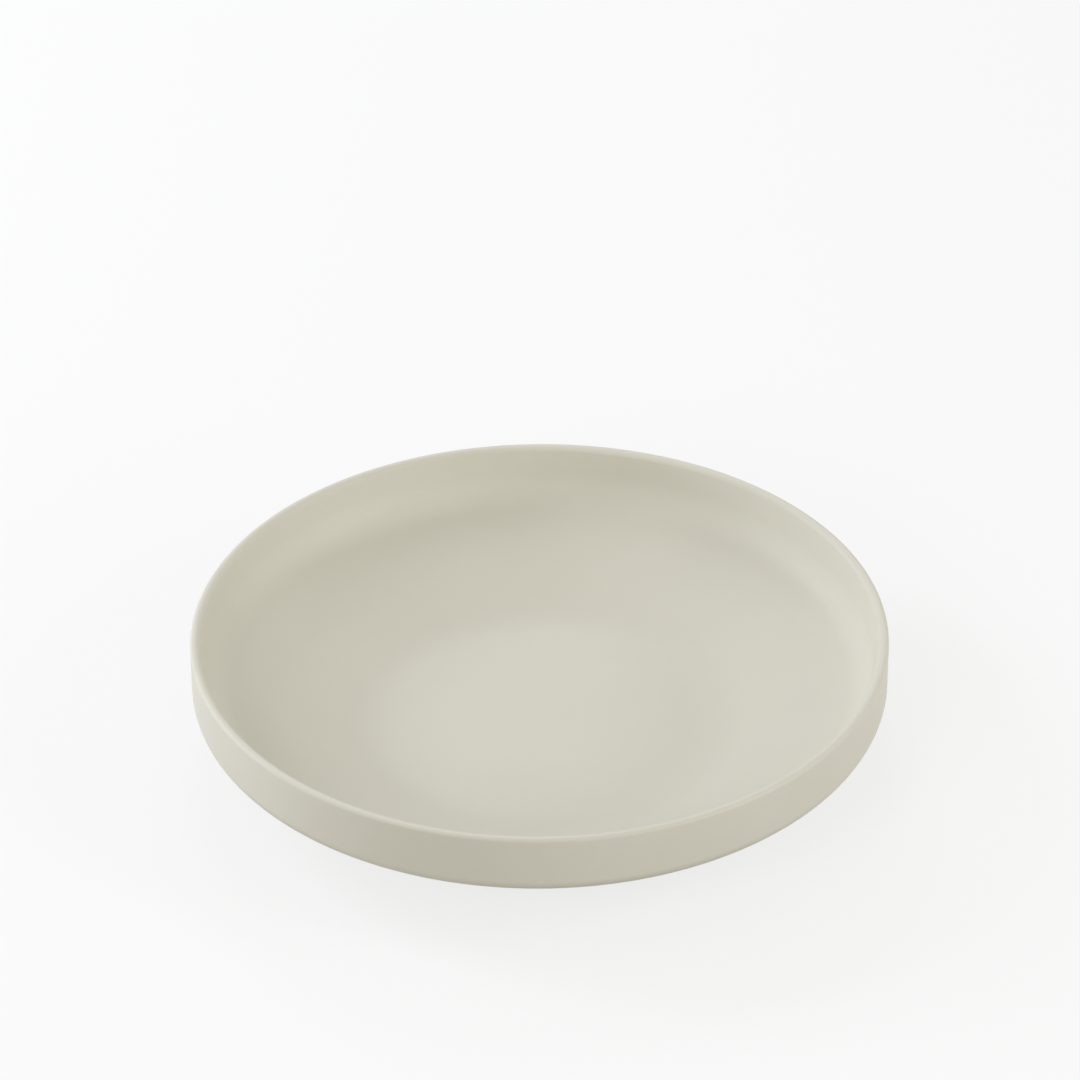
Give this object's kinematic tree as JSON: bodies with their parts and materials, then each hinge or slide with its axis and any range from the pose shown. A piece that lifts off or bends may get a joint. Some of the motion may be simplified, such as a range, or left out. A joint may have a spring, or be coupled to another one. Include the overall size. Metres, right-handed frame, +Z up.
{
  "type": "deep plate",
  "caption": "Round deep plate in matt-glazed stoneware: short upright collar with a rounded rim, shallow conical dish, flat floor and a bare foot ring. It holds and serves food.",
  "frame": {"origin": "centre of the foot ring, on the plane that the plate stands on", "axes": "+Z up along the plate's axis of symmetry, X and Y across it"},
  "size_m": [0.2, 0.2, 0.0385],
  "materials": {
    "fired_clay": "bare fired stoneware, fine-grained and matt",
    "inside_glaze": "satin-matt warm grey glaze",
    "outside_glaze": "satin-matt warm grey glaze",
    "foot_well_glaze": "satin-matt warm grey glaze"
  },
  "bodies": {
    "root": {"stoneware_body": "fired_clay", "inside_glaze": "inside_glaze", "outside_glaze": "outside_glaze", "foot_well_glaze": "foot_well_glaze"}
  },
  "joints": []
}
